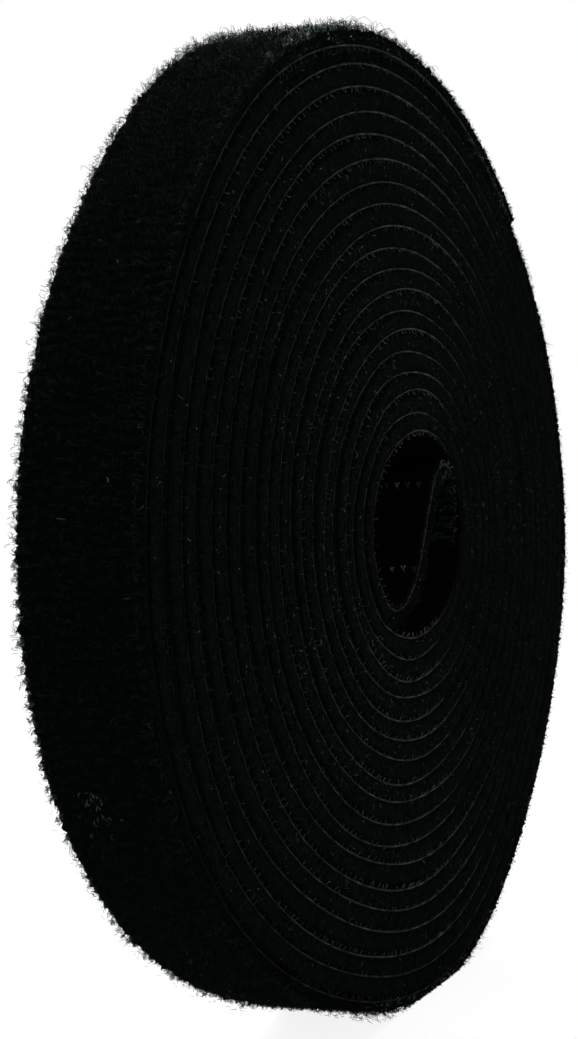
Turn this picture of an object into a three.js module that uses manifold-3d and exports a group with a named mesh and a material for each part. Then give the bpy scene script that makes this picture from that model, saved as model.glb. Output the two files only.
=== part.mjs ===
// Hook and loop tape roll: a coreless roll of back-to-back tape that stands on its rim.
// Millimetres, +Z up. The roll's axis runs along Y, and its shown face looks towards -Y.
// The origin lies on the floor, under the roll's axis and halfway across the tape.
import * as THREE from 'three';
import { mergeVertices } from 'three/addons/utils/BufferGeometryUtils.js';
import Module from 'manifold-3d';

const wasm = await Module();
wasm.setup();

// Tape section, from the hook side to the pile side
const TAPE_WIDTH = 10;
const HOOK_SPACE = 0.75;
const FILM_THICKNESS = 0.3;
const BOND_GAP = 0.3;
const LOOP_THICKNESS = 0.55;

// Winding
const FULL_TURNS = 18;
const STEPS_PER_TURN = 30;
const BORE_RADIUS = 7.5;
const OUTER_END_ANGLE = 48;
const INNER_END_ANGLE = 216;

// The soft bore has sagged to an oval, which fades out turn by turn
const BORE_WIDENING = 1.33;
const BORE_OVAL = 0.63;
const BORE_OVAL_ANGLE = 19;
const OVAL_TURNS = 12;

// Free outer end, one hinge to each step of the winding
const PEEL_LINKS = 6;
const PEEL_RANGE = 25;

// Inner tail: it leaves the bore's lower left, rises across it and folds over at the upper right.
// Its points are counted in bore radii from the roll's axis, so they move with the bore.
const TAIL_SWAY_RANGE = [-4, 10];
const TIP_FLEX_RANGE = [-2, 18];
const TAIL_LEAD = [[-0.847, -0.896]];
const TAIL_ROOT = [-0.66, -0.953];
const TAIL_LEG = [[-0.46, -0.92], [-0.273, -0.813], [-0.113, -0.653], [0.02, -0.46], [0.127, -0.253],
  [0.22, -0.04], [0.313, 0.173], [0.413, 0.387], [0.533, 0.587], [0.673, 0.72]];
const TAIL_FOLD = [0.84, 0.767];
const TAIL_TIP = [[0.993, 0.707], [1.087, 0.573], [1.127, 0.4], [1.133, 0.213], [1.12, 0.027], [1.093, -0.26]];

// Moulded hooks, drawn on the stretches of film that lie free
const HOOK_CLEARANCE = 0.33;
const HOOK_ROOT = 0.45;
const HOOK_TOP = 0.32;
const HOOK_LEAN = 0.3;
const HOOK_WIDTH = 0.5;
const HOOK_PITCH = 2.4;
const HOOK_SINK = 0.1;

// Clearances and the flat that the roll stands on
const END_CLEARANCE = 0.3;
const FLAT_DEPTH = 0.25;

// Sizes that follow from those above
const TURN_PITCH = HOOK_SPACE + FILM_THICKNESS + BOND_GAP + LOOP_THICKNESS;
const HOOK_HEIGHT = HOOK_SPACE - HOOK_CLEARANCE;
const FILM = [-FILM_THICKNESS / 2, FILM_THICKNESS / 2];
const LOOP_INNER = FILM[1] + BOND_GAP;
const LOOP = [LOOP_INNER, LOOP_INNER + LOOP_THICKNESS];
const WOUND_ANGLE = FULL_TURNS * 360 + INNER_END_ANGLE - OUTER_END_ANGLE;
const TOTAL_STEPS = Math.round(WOUND_ANGLE * STEPS_PER_TURN / 360);
const STEP_ANGLE = WOUND_ANGLE / TOTAL_STEPS;

const FILM_LOOK = { color: 0x1a1d1c, roughness: 0.5, metalness: 0 };
const LOOP_LOOK = { color: 0x0b0f0f, roughness: 0.95, metalness: 0 };

const radians = (degrees) => degrees * Math.PI / 180;
const minus = (a, b) => [a[0] - b[0], a[1] - b[1]];
const along = (a, direction, length) => [a[0] + direction[0] * length, a[1] + direction[1] * length];

function unit(vector) {
  const length = Math.hypot(vector[0], vector[1]);
  return [vector[0] / length, vector[1] / length];
}

// The pile side of the tape is on the right of a path that runs from the outer end inwards.
function pileSide(direction) {
  return [direction[1], -direction[0]];
}

// Middle of the film, a number of steps out from the winding's inner end, in the roll's own plane
function woundPoint(step) {
  const turns = step * STEP_ANGLE / 360;
  const angle = radians(INNER_END_ANGLE - step * STEP_ANGLE);
  const fade = Math.max(0, 1 - turns / OVAL_TURNS) ** 1.15;
  const oval = BORE_WIDENING + BORE_OVAL * Math.cos(2 * (angle - radians(BORE_OVAL_ANGLE)));
  const radius = BORE_RADIUS + TURN_PITCH * turns + fade * oval;
  return [radius * Math.cos(angle), radius * Math.sin(angle)];
}

// Turn of the path at a joint, positive where it bends towards the pile side
function bendAt(before, joint, after) {
  const a = unit(minus(joint, before));
  const b = unit(minus(after, joint));
  return Math.atan2(a[1] * b[0] - a[0] * b[1], a[0] * b[0] + a[1] * b[1]);
}

// Length taken off a layer at a joint, so that its ends stay clear when the joint closes by a range
function endTrim(layer, bend, closing) {
  const lean = Math.max(0, bend + radians(closing)) / 2;
  return Math.max(...layer, 0) * Math.tan(lean) + END_CLEARANCE / 2;
}

function trimmed(path, startTrim, endTrimLength) {
  const first = along(path[0], unit(minus(path[1], path[0])), startTrim);
  const last = path[path.length - 1];
  const final = along(last, unit(minus(path[path.length - 2], last)), endTrimLength);
  return [first, ...path.slice(1, -1), final];
}

// Path moved sideways, with its corners kept at the same distance from both neighbours
function offsetPath(path, distance) {
  return path.map((point, i) => {
    const into = i > 0 ? pileSide(unit(minus(point, path[i - 1]))) : null;
    const out = i < path.length - 1 ? pileSide(unit(minus(path[i + 1], point))) : null;
    const a = into ?? out;
    const b = out ?? into;
    const middle = unit([a[0] + b[0], a[1] + b[1]]);
    return along(point, middle, distance / (middle[0] * a[0] + middle[1] * a[1]));
  });
}

function layerOutline(path, layer) {
  return [...offsetPath(path, layer[0]), ...offsetPath(path, layer[1]).reverse()];
}

// Outline in the roll's plane, carried across the tape between two distances from its middle
function acrossTape(outline, from, to) {
  const shape = new THREE.Shape(outline.map(([x, z]) => new THREE.Vector2(x, z)));
  const geometry = new THREE.ExtrudeGeometry(shape, { depth: to - from, bevelEnabled: false });
  geometry.rotateX(Math.PI / 2);
  geometry.translate(0, to, 0);
  return geometry;
}

function toSolid(geometry) {
  const bare = geometry.clone();
  bare.deleteAttribute('normal');
  bare.deleteAttribute('uv');
  const merged = mergeVertices(bare, 1e-4);
  const mesh = new wasm.Mesh({
    numProp: 3,
    vertProperties: new Float32Array(merged.attributes.position.array),
    triVerts: new Uint32Array(merged.index.array),
  });
  return new wasm.Manifold(mesh);
}

function toGeometry(solid) {
  const mesh = solid.getMesh();
  const geometry = new THREE.BufferGeometry();
  geometry.setAttribute('position', new THREE.BufferAttribute(new Float32Array(mesh.vertProperties), 3));
  geometry.setIndex(new THREE.BufferAttribute(new Uint32Array(mesh.triVerts), 1));
  geometry.computeVertexNormals();
  return geometry;
}

function strip(path, layer) {
  return acrossTape(layerOutline(path, layer), -TAPE_WIDTH / 2, TAPE_WIDTH / 2);
}

// Leaning hook that stands on the film's bare side
function hookOutline(root, direction) {
  const up = pileSide(direction).map((value) => -value);
  const corner = (length, height) => along(along(root, direction, length), up, FILM[1] + height);
  return [
    corner(-HOOK_ROOT / 2, -HOOK_SINK),
    corner(HOOK_ROOT / 2, -HOOK_SINK),
    corner(HOOK_LEAN + HOOK_TOP / 2, HOOK_HEIGHT),
    corner(HOOK_LEAN - HOOK_TOP / 2, HOOK_HEIGHT),
  ];
}

// Rows of hooks along a stretch of film, spread evenly from end to end and across the tape
function hookedFilm(path) {
  let solid = toSolid(strip(path, FILM));
  const columns = Math.max(1, Math.floor(TAPE_WIDTH / HOOK_PITCH));
  const spread = TAPE_WIDTH / columns;
  for (let i = 0; i < path.length - 1; i += 1) {
    const run = minus(path[i + 1], path[i]);
    const length = Math.hypot(run[0], run[1]);
    const direction = unit(run);
    const rows = Math.max(1, Math.floor(length / HOOK_PITCH));
    for (let row = 0; row < rows; row += 1) {
      const root = along(path[i], direction, length * (row + 0.5) / rows);
      for (let column = 0; column < columns; column += 1) {
        const middle = spread * (column + 0.5) - TAPE_WIDTH / 2;
        const hook = acrossTape(hookOutline(root, direction), middle - HOOK_WIDTH / 2, middle + HOOK_WIDTH / 2);
        solid = solid.add(toSolid(hook));
      }
    }
  }
  return toGeometry(solid);
}

// Least gap of a wound layer to itself, between its points and the turns beside them
function leastGap(path, layer) {
  const inner = offsetPath(path, layer[0]);
  const outer = offsetPath(path, layer[1]);
  const far = Math.floor(STEPS_PER_TURN / 2);
  let least = Infinity;
  for (let i = 0; i < inner.length; i += 1) {
    for (let j = 0; j < outer.length - 1; j += 1) {
      if (Math.abs(i - j) >= far) {
        const edge = minus(outer[j + 1], outer[j]);
        const span = edge[0] ** 2 + edge[1] ** 2;
        const reach = minus(inner[i], outer[j]);
        const share = Math.min(1, Math.max(0, (reach[0] * edge[0] + reach[1] * edge[1]) / span));
        const foot = along(outer[j], edge, share);
        least = Math.min(least, Math.hypot(inner[i][0] - foot[0], inner[i][1] - foot[1]));
      }
    }
  }
  return least;
}

// Paths, from the outer end inwards
const inBore = ([x, z]) => [x * BORE_RADIUS, z * BORE_RADIUS];
const spiral = Array.from({ length: TOTAL_STEPS + 1 }, (_, i) => woundPoint(TOTAL_STEPS - i));
const peelPath = spiral.slice(0, PEEL_LINKS + 1);
const tailRoot = inBore(TAIL_ROOT);
const tailFold = inBore(TAIL_FOLD);
const woundPath = [...spiral.slice(PEEL_LINKS), ...TAIL_LEAD.map(inBore), tailRoot];
const legPath = [tailRoot, ...TAIL_LEG.map(inBore), tailFold];
const tipPath = [tailFold, ...TAIL_TIP.map(inBore)];

// Length taken off each layer at the three kinds of joint
const peelTrim = (layer) => endTrim(layer, bendAt(peelPath[0], peelPath[1], peelPath[2]), PEEL_RANGE);
const rootTrim = (layer) => endTrim(layer, bendAt(woundPath.at(-2), tailRoot, legPath[1]), -TAIL_SWAY_RANGE[0]);
const foldTrim = (layer) => endTrim(layer, bendAt(legPath.at(-2), tailFold, tipPath[1]), TIP_FLEX_RANGE[1]);

// The roll's axis stands above a floor that cuts a little off the lowest pile
const woundLoopPath = trimmed(woundPath, peelTrim(LOOP), rootTrim(LOOP));
const lowest = Math.min(...offsetPath([...peelPath, ...woundPath.slice(1)], LOOP[1]).map((point) => point[1]));
const axisHeight = -(lowest + FLAT_DEPTH);

function onFloor(geometry) {
  geometry.computeBoundingBox();
  if (geometry.boundingBox.min.z >= -axisHeight) {
    return geometry;
  }
  const below = new THREE.BoxGeometry(4 * axisHeight, 2 * TAPE_WIDTH, axisHeight);
  below.translate(0, 0, -axisHeight - axisHeight / 2);
  return toGeometry(toSolid(geometry).subtract(toSolid(below)));
}

const group = new THREE.Group();
group.name = 'hook_and_loop_tape_roll';

function addPiece(name, geometry, look) {
  geometry.translate(0, 0, axisHeight);
  const mesh = new THREE.Mesh(geometry, new THREE.MeshStandardMaterial(look));
  mesh.name = name;
  group.add(mesh);
}

const woundFilmPath = trimmed(woundPath, peelTrim(FILM), rootTrim(FILM));
addPiece('hook_film_wound', strip(woundFilmPath, FILM), FILM_LOOK);
addPiece('loop_fabric_wound', onFloor(strip(woundLoopPath, LOOP)), LOOP_LOOK);

// Link 1 is joined to the roll, and the last one is the tape's free end.
for (let link = 1; link <= PEEL_LINKS; link += 1) {
  const ends = [peelPath[PEEL_LINKS - link], peelPath[PEEL_LINKS - link + 1]];
  const freeEnd = link === PEEL_LINKS;
  const film = trimmed(ends, freeEnd ? 0 : peelTrim(FILM), peelTrim(FILM));
  const loop = trimmed(ends, freeEnd ? 0 : peelTrim(LOOP), peelTrim(LOOP));
  addPiece(`hook_film_peel_${link}`, hookedFilm(film), FILM_LOOK);
  addPiece(`loop_fabric_peel_${link}`, onFloor(strip(loop, LOOP)), LOOP_LOOK);
}

const legFilm = trimmed(legPath, rootTrim(FILM), foldTrim(FILM));
const legLoop = trimmed(legPath, rootTrim(LOOP), foldTrim(LOOP));
addPiece('hook_film_tail', hookedFilm(legFilm), FILM_LOOK);
addPiece('loop_fabric_tail', strip(legLoop, LOOP), LOOP_LOOK);
addPiece('hook_film_tip', strip(trimmed(tipPath, foldTrim(FILM), 0), FILM), FILM_LOOK);
addPiece('loop_fabric_tip', strip(trimmed(tipPath, foldTrim(LOOP), 0), LOOP), LOOP_LOOK);

const wholePath = [...spiral, ...TAIL_LEAD.map(inBore), ...legPath, ...tipPath.slice(1)];
const tapeLength = wholePath.slice(1).reduce((sum, point, i) => {
  const run = minus(point, wholePath[i]);
  return sum + Math.hypot(run[0], run[1]);
}, 0);
console.log(`tape length ${(tapeLength / 1000).toFixed(3)} m, pitch ${TURN_PITCH.toFixed(2)} mm`);
console.log(`least gap of hook_film_wound to itself ${leastGap(woundFilmPath, FILM).toFixed(2)} mm`);
console.log(`least gap of loop_fabric_wound to itself ${leastGap(woundLoopPath, LOOP).toFixed(2)} mm`);
console.log(`axis height ${axisHeight.toFixed(3)} mm`);

export default group;
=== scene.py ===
"""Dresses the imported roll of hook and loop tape: film, hooks, knitted ground, napped pile and its stage."""
import math
from types import SimpleNamespace

import bpy
import numpy as np
from bpy.props import FloatProperty, FloatVectorProperty, IntProperty, PointerProperty
from mathutils import Matrix, Vector


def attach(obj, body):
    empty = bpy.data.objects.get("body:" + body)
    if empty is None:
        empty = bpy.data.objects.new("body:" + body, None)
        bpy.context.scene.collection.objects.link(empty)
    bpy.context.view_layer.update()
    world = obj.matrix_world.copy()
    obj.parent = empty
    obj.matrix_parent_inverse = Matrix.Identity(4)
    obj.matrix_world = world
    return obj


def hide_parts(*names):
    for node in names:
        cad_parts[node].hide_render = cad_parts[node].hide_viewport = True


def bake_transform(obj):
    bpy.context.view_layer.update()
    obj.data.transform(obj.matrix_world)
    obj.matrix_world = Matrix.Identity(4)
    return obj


bl_info = {
    "name": "Hook and loop tape roll",
    "version": (1, 0, 0),
    "blender": (4, 5, 0),
    "location": "View3D > Sidebar > Tape roll",
    "description": "Builds a coreless roll of back-to-back hook and loop tape around its packed frame",
    "category": "Object",
}

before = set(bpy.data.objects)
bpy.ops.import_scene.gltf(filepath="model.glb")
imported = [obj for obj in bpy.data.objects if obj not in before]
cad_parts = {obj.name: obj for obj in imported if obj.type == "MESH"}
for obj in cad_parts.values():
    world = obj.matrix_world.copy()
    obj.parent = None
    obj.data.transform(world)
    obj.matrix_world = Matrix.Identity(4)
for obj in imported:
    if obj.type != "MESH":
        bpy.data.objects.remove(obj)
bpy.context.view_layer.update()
MM = 0.001
TURN = 360

# The route that the tape follows, as in the part's source, in degrees and in bore radii
OUTER_END_ANGLE = 48.0
INNER_END_ANGLE = 216.0
FULL_TURNS = 18
LINK_ANGLE = 12.0
PEEL_LINKS = 6
OVAL_TURNS = 12.0
OVAL_FADE = 1.15
BORE_OVAL_ANGLE = 19.0
TAIL_LEAD = [(-0.847, -0.896)]
TAIL_ROOT = [(-0.66, -0.953)]
TAIL_LEG = [(-0.46, -0.92), (-0.273, -0.813), (-0.113, -0.653), (0.02, -0.46), (0.127, -0.253),
            (0.22, -0.04), (0.313, 0.173), (0.413, 0.393), (0.533, 0.613), (0.68, 0.767)]
TAIL_FOLD = [(0.853, 0.82)]
TAIL_TIP = [(1.013, 0.747), (1.1, 0.593), (1.127, 0.4), (1.133, 0.213), (1.12, 0.027), (1.093, -0.26)]

# Steps of the route in degrees and of its strips in millimetres, and laps and trims in millimetres
SWEEP_STEP = 2.0
TAIL_STEPS = 24
WOUND_FILM_STEP = 0.45
FREE_FILM_STEP = 0.3
WOUND_GROUND_STEP = 0.27
FREE_GROUND_STEP = 0.11
TAIL_LAP = 1.6
RIM_LAP = 4
RIM_FUZZ_LAP = 60
OUTER_TRIM = 3.2

# Slackness: lobes (count, height, angle), spots (swept angle, width, height), waves (height, rate, start)
LOBES = [(1, 0.155, -152.5), (2, 0.16, -52.0), (4, 0.377, 14.1), (5, 0.213, -5.2), (6, 0.133, -16.9)]
LOBE_FADE = (3.0, 8.0)
SLACK_SPOTS = [(8.0, 20.0, -0.47), (58.0, 14.0, -0.4), (106.0, 16.0, -0.36), (230.0, 6.0, 0.2)]
BACK_FLARES = [(66.0, 14.0, 1.1), (210.0, 32.0, 1.0)]
FLARE_START = 0.22
WAVER = [(0.11, 2.37, 1.1), (0.09, 3.61, 0.5), (0.05, 7.83, 2.0)]
WAVER_FADE = (0.6, 2.0)
EDGE_DRIFT = [(0.07, 1 / 37.0, 0.4), (0.05, 1 / 11.3, 1.9), (0.03, 1 / 4.1, 0.0)]
FILM_WAVES = [(0.02, 2.3, 0.0), (0.02, 5.9, 1.0)]

# Where the pile is pressed flat on the floor, in millimetres
FLOOR_SOFT = 0.35
FLOOR_LEAST = 0.03

# Nap of the last turn: spots (swept angle, width, share) and spans of its run and of swept angle
CREST = (58.0, 16.0, 0.78)
CREST_TANGLE = 1.6
FLUFFED = [CREST, (130.0, 45.0, 0.2), (390.0, 30.0, 0.45)]
OUTER_TAPER = (0.7, 10.0)
UNDER_END = (361, 376)
UNDER_TALLEST = 2.4
PILE_FOOT = 0.42

# Room left above the ground, and its greatest thickness, in millimetres
FILL_CLEARANCE = 0.4
PACKED_CLEARANCE = 0.18
PACKED_MOST = 2.6
COVERED_CLEARANCE = 0.1
COVERED_MOST = 2.2

# Hairs lit by painted rim light: spans of swept angle and of place across, and ranges of the painted light
HAIRS_PER_TUFT = 12
FRONT_HAIR_LIGHT_SPOT = (58.0, 10.0, 1.0)
FRONT_HAIR_LIGHT_END = 100
CROWN_LIGHT_START = (38, 52)
CROWN_LIGHT_END = (68.5, 76.5)
CROWN_LIGHT_SHIFT = (8, 5)
CROWN_LIGHT_ACROSS = (-5, -2)
CROWN_LIGHT_LEAST = 0.05
CROWN_HAIR_LIGHT = (0.3, 24.0)
REAR_HAIR_LIGHT = (0.4, 8.0)
FORE_HAIR_LIGHT = (0.3, 14.0)

# Hairs of the rim: name, span of swept angle, tufts per millimetre, seed, side and range of painted rim light
RIM_HAIRS = [("back_hairs", 0, 360, 8.0, 38, 1, (0.3, 6.0)),
             ("front_hairs", 205, 245, 8.0, 39, -1, (0.3, 6.5)),
             ("side_hairs", 245, 385, 6.0, 37, -1, (0.2, 4.0))]

# Lint in the rim's pile: swept angle, place across, spread and count
LINT = [(158.0, 1.2, 1.3, 22), (187.0, 0.5, 2.5, 6), (120.0, -1.0, 6.0, 4)]

# Edge fuzz: root and rise in millimetres, curls per millimetre, bright share and density from the rim inwards
FUZZ_ROOT = 0.12
FUZZ_RISE = 0.3
FRONT_FUZZ = 26.0
FREE_BACK_FUZZ = 14.0
WOUND_BACK_FUZZ = 12.0
WOUND_FUZZ = [(0.006, 0.3), (0.012, 1.0), (0.025, 1.0), (0.05, 1.0)]

# Hooks: margin and hooked run of the bore, and the heights from the roll's axis of the tail's rows with
# painted glints, in millimetres
HOOK_MARGIN = 0.2
HOOKED_BORE = 60
BRIGHT_HOOK_ROWS = (3.5, -4.2)
BRIGHT_HOOK_BAND = 0.62

# Inner tail: scuff and painted light, bright fuzz, edge hook pitch, film swell, frayed length and painted
# pile light of its stretches
TAIL_PLAIN = (0.9, 0.08, 0.6, 1.0, 0.0, 0.0)
# Painted light: the fold's higher scuff, bright fuzz and pile values light the lit fold; the tip's pile value
# lightens its pile where it lies in shade.
TAIL_LOOKS = {"fold": (1.9, 0.35, 0.35, 2.2, 0.0, 0.45), "tip": (0.9, 0.08, 0.6, 1.0, 0.6, 0.2)}
TAIL_GLINT = 1.5
TAIL_FLUFF = 0.8
TAIL_TUFTS = 0.5

# Reach from a hinge of the points placed on either side of it, as a share of the stretch
END_BLEND = 0.75
TAIL_BLEND = 0.8

# Bake map: tape to a row in millimetres, and margins as shares of a row or of a strand's cell
BAKE_ROW = 24
ROW_EDGE = 0.04
CELL_EDGE = 0.15
CELL_SPAN = 0.6
TINY = 1e-12

# Finishes: deep colour and worn colour that painted light also uses, gain on the worn one, roughness of both,
# specular level, grain scale, grain
FINISHES = {
    "Hook film": ("film", "film_edge", 1.0, (0.8, 0.6), 0.0, (1500, 400, 1500), 0.2),
    "Moulded hook": ("film", "film_edge", 1.0, (0.8, 0.6), 0.0, (2500, 2500, 2500), 0.1),
    "Napped pile": ("fibre", "fibre_worn_and_lit", 1.0, (0.7, 0.55), 0.008, (900, 900, 900), 0.05),
    "Loose hair": ("fibre", "hair", 1.0, (0.7, 0.55), 0.008, (900, 900, 900), 0.05),
    "Loop ground": ("ground", "ground", 2.5, (0.95, 0.8), 0.005, (1300, 1300, 1300), 0.9),
}
GRAIN_DEPTH = 0.0002

# Camera place fitted to the photograph, in millimetres and degrees
VIEW_TURN = 60.02
VIEW_RISE = -0.33
VIEW_ROLL = 0.57
VIEW_DISTANCE = 118.74
VIEW_SIDE = 11.82
VIEW_LIFT = -0.87
VIEW_FOCUS = 45.04

# Stage: softboxes (name, place, target, size in metres, power in watts), floor and light of the surround
SOFTBOXES = [("Top softbox", (-0.12, 0.05, 0.45), (0, 0, 0.05), 0.35, 3.5),
             ("Side softbox", (-0.35, -0.25, 0.22), (0, 0, 0.04), 0.3, 0.5),
             ("Low softbox", (0.1, -0.42, 0.02), (0, 0, 0.01), 0.3, 2.0),
             ("Back softbox", (0.2, 0.42, 0.3), (0, 0, 0.05), 0.6, 10.0)]
FLOOR_RADIUS = 3.0
FLOOR_SIDES = 64
SURROUND_LIGHT = 0.45
WHITE = (1, 1, 1, 1)


def length(name, description, millimetres):
    """Length property that shows in the scene's own unit."""
    return FloatProperty(name=name, description=description, default=millimetres * MM, unit="LENGTH",
                         precision=5)


def colour(name, description, value):
    return FloatVectorProperty(name=name, description=description, default=value, subtype="COLOR", size=3,
                               min=0.0, max=1.0)


class TapeRollSizes(bpy.types.PropertyGroup):
    """Sizes of the tape and of its winding"""

    tape_width: length("Tape width", "Width of the tape, edge to edge", 10.0)
    turn_pitch: length("Turn pitch", "Radial distance from turn to turn", 1.9)
    bore_radius: length("Bore radius", "Film radius where the winding starts", 7.5)
    bore_widening: length("Bore widening", "How far the soft bore has spread", 1.33)
    bore_oval: length("Bore oval", "Half the difference between the bore's long and short radius", 0.63)
    axis_height: length("Axis height", "Height of the roll's axis above the floor, on its pile", 42.55)
    film_thickness: length("Film thickness", "Thickness of the hook film", 0.2)
    hook_height: length("Hook height", "Height of a moulded hook above the film", 0.46)
    hook_row_pitch: length("Hook row pitch", "Distance between rows of hooks in the bore", 1.45)
    edge_hook_pitch: length("Edge hook pitch", "Distance between hooks along the tape's edges", 0.8)
    hook_column_pitch: length("Hook column pitch", "Distance between hooks across the tape", 1.1)
    wound_fill: length("Wound fill", "Thickness of ground and pile between two turns", 1.46)
    ground_thickness: length("Ground thickness", "Thickness of the knitted ground on the rim", 0.62)
    course_ridge: length("Course ridge", "Height of the pile's dense foot above the ground", 0.3)
    pile_height: length("Pile height", "Height of the napped loops above the film", 1.14)
    pile_course: length("Pile course", "Distance between courses of loops along the tape", 0.85)
    pile_wale: length("Pile wale", "Distance between loops across the tape", 0.38)
    fibre_radius: length("Fibre radius", "Radius of one pile fibre", 0.018)
    loops_per_stitch: IntProperty(name="Loops per stitch", description="Fibres in one stitch of the pile",
                                  default=5, min=1)


class TapeRollColours(bpy.types.PropertyGroup):
    """Colours of the tape's two plies and of the stage"""

    film: colour("Film", "Broad faces of the hook film", (0.0006, 0.0006, 0.0006))
    # Colour of scuffs on film edges and hooks, also used for their painted highlights and glints.
    film_edge: colour("Film edge", "Scuffed edges of the film, and scuffed hooks", (0.029, 0.033, 0.0295))
    ground: colour("Ground", "Knitted ground under the pile", (0.0005, 0.0010, 0.00088))
    fibre: colour("Fibre", "Pile fibres in the mass", (0.00085, 0.0019, 0.00165))
    # Colour of worn fibres, also reached by the pile's painted light.
    fibre_worn_and_lit: colour("Worn fibre", "Bright, worn pile fibres", (0.0285, 0.0435, 0.0365))
    # The loose hairs' paleness is painted rim light; the lint's paleness is its own colour.
    hair: colour("Loose hair", "Loose hairs and lint, before their own paleness", (0.035, 0.044, 0.0385))
    floor: colour("Floor", "Pale studio floor", (0.93, 0.93, 0.93))


def bump(at, spot):
    """Smooth hump (centre, width, size) along the tape."""
    centre, width, size = spot
    return size * np.exp(-0.5 * ((at - centre) / width) ** 2)


def ripple(at, waves):
    """Sum of waves (height, rate, start) along the tape."""
    return sum(tall * np.sin(rate * at + start) for tall, rate, start in waves)


def smooth_share(value, low, high):
    share = np.clip((value - low) / (high - low), 0.0, 1.0)
    return share * share * (3 - 2 * share)


def smooth_through(points, steps):
    """Catmull-Rom curve through points, with a number of steps between each pair."""
    padded = np.vstack([2 * points[0] - points[1], points, 2 * points[-1] - points[-2]])
    t = np.linspace(0, 1, steps, endpoint=False)[:, None]
    parts = []
    for a, b, c, d in zip(padded, padded[1:], padded[2:], padded[3:]):
        parts.append(0.5 * (2 * b + (c - a) * t + (2 * a - 5 * b + 4 * c - d) * t ** 2
                            + (3 * b - a - 3 * c + d) * t ** 3))
    return np.vstack(parts + [points[-1:]])


def end_taper(run):
    """Share of the fabric's full height: less where the outer end is pressed down."""
    least, full = OUTER_TAPER
    return least + (1 - least) * smooth_share(run, OUTER_TRIM, full)


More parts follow.
